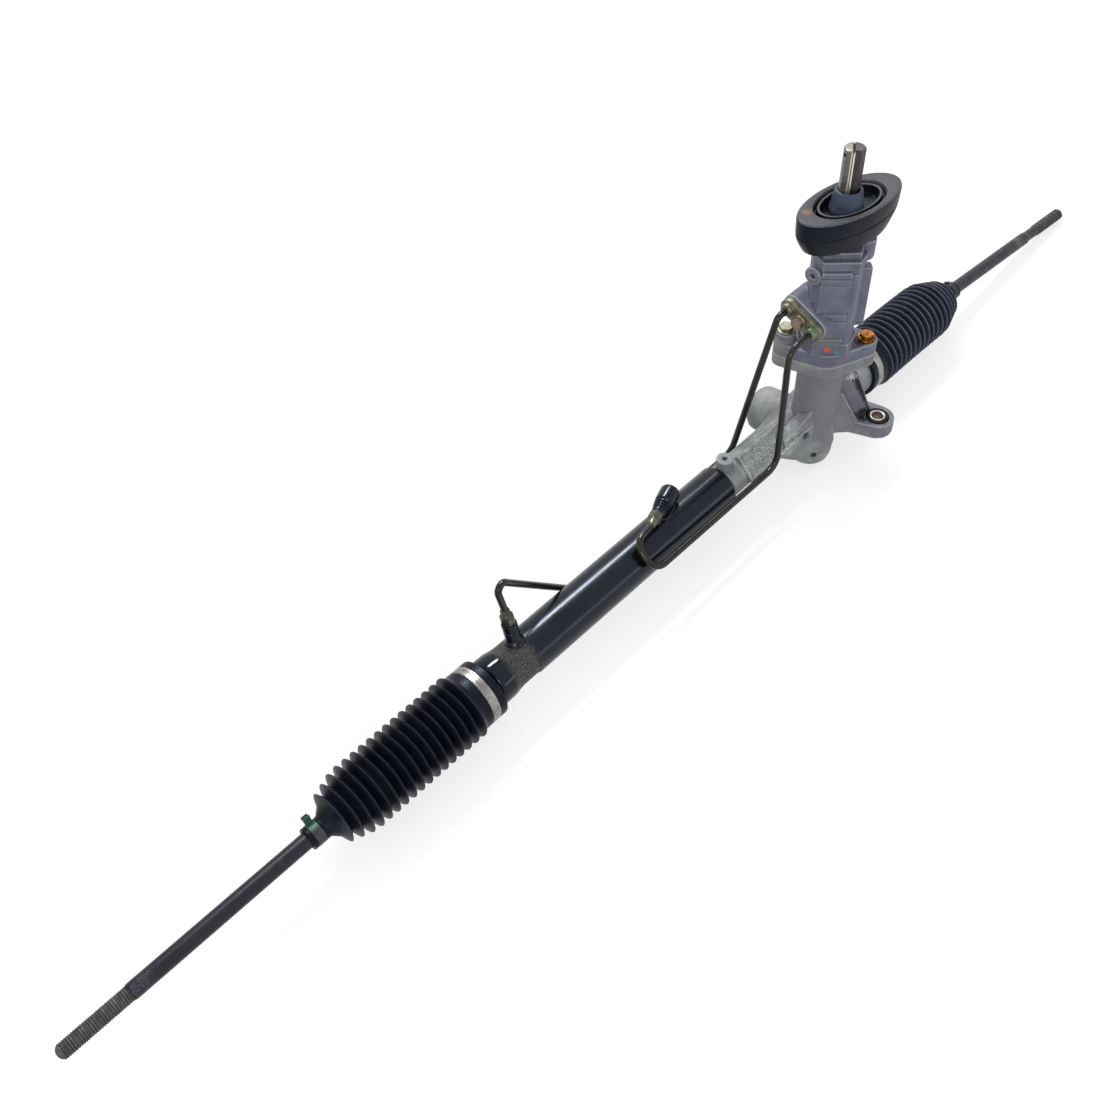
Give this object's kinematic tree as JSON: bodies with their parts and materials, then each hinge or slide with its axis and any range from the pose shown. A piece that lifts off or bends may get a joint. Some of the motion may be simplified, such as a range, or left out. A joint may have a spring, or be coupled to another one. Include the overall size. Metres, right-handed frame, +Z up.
{
  "type": "rack and pinion steering gear",
  "caption": "Hydraulic rack and pinion steering gear: cast housing with upright valve tower, black power cylinder, steel pipes, ribbed rubber bellows and threaded tie rods.",
  "frame": {"origin": "on the axis of the rack, level with the pinion", "axes": "+X along the rack towards the tie rod nearer the valve tower, +Z up along the valve tower, the pinion on the -Y side of the rack"},
  "size_m": [1.3016, 0.117, 0.3283],
  "materials": {
    "cast_aluminium": "sand-cast, satin grey",
    "tower_casting": "sand-cast, dull bluish grey",
    "black_paint": "gloss black paint",
    "plain_steel": "machined",
    "shaft_steel": "ground steel, a little browned",
    "pipe_steel": "dark olive plating",
    "yellow_zinc": "yellow zinc plating",
    "band_steel": "bright strip steel",
    "rod_steel": "black phosphate, scuffed",
    "black_rubber": "matte black",
    "slate_rubber": "matte slate",
    "white_plastic": "natural plastic",
    "bush_bronze": "bronze"
  },
  "bodies": {
    "housing": {"bellows_left": "black_rubber", "bellows_right": "black_rubber", "bottom_cap": "plain_steel", "bulkhead_seal": "black_rubber", "bush_rubber": "black_rubber", "bush_sleeve": "plain_steel", "cylinder_end_ring": "black_paint", "cylinder_tube": "black_paint", "dust_collar": "slate_rubber", "flange_bolt_left": "yellow_zinc", "flange_bolt_right": "yellow_zinc", "large_band_left": "band_steel", "large_band_right": "band_steel", "lower_bearing": "plain_steel", "pipe_left": "pipe_steel", "pipe_mid": "pipe_steel", "pipe_plate": "yellow_zinc", "pipe_plate_bolt": "yellow_zinc", "port_boss_left": "black_paint", "port_boss_mid": "black_paint", "rack_bush_left": "bush_bronze", "rack_bush_right": "bush_bronze", "rack_housing": "cast_aluminium", "rack_seal_left": "black_rubber", "rack_seal_right": "black_rubber", "shaft_bearing": "plain_steel", "shaft_seal": "black_rubber", "tube_nut_left": "shaft_steel", "tube_nut_mid": "plain_steel", "upper_bearing": "plain_steel", "valve_housing": "tower_casting", "yoke": "white_plastic", "yoke_plug": "plain_steel", "yoke_spring": "plain_steel"},
    "rack": {"rack_bar": "plain_steel", "piston": "plain_steel", "piston_ring": "white_plastic", "ball_socket_left": "plain_steel", "ball_socket_right": "plain_steel", "ball_seat_left": "white_plastic", "ball_seat_right": "white_plastic"},
    "pinion": {"pinion": "plain_steel", "pinion_nut": "plain_steel", "torsion_bar": "plain_steel", "valve_sleeve": "plain_steel"},
    "input": {"input_shaft": "shaft_steel"},
    "left_rod": {"tie_rod_left": "rod_steel", "small_clip_left": "band_steel"},
    "right_rod": {"tie_rod_right": "rod_steel", "small_clip_right": "band_steel"}
  },
  "joints": [
    {"name": "rack_slide", "type": "slide", "parent": "housing", "child": "rack", "axis": [1, 0, 0], "range_m": [-0.07, 0.07], "deforming": ["bellows_left", "bellows_right"]},
    {"name": "pinion_turn", "type": "hinge", "parent": "housing", "child": "pinion", "pos_m": [0, -0.016, 0], "axis": [0, 0, 1], "range_deg": [-501.4, 501.4]},
    {"name": "input_twist", "type": "hinge", "parent": "pinion", "child": "input", "pos_m": [0, -0.016, 0], "axis": [0, 0, 1], "range_deg": [-4, 4], "stiffness_Nm_per_rad": 60},
    {"name": "left_rod_swing", "type": "hinge", "parent": "rack", "child": "left_rod", "pos_m": [-0.487, 0, 0], "axis": [0, 1, 0], "range_deg": [-22, 22], "deforming": ["bellows_left"]},
    {"name": "right_rod_swing", "type": "hinge", "parent": "rack", "child": "right_rod", "pos_m": [0.19, 0, 0], "axis": [0, 1, 0], "range_deg": [-28.5, 15.5], "deforming": ["bellows_right"]}
  ],
  "couplings": [
    {"joint": "pinion_turn", "follows": "rack_slide", "rad_per_m": -125}
  ]
}
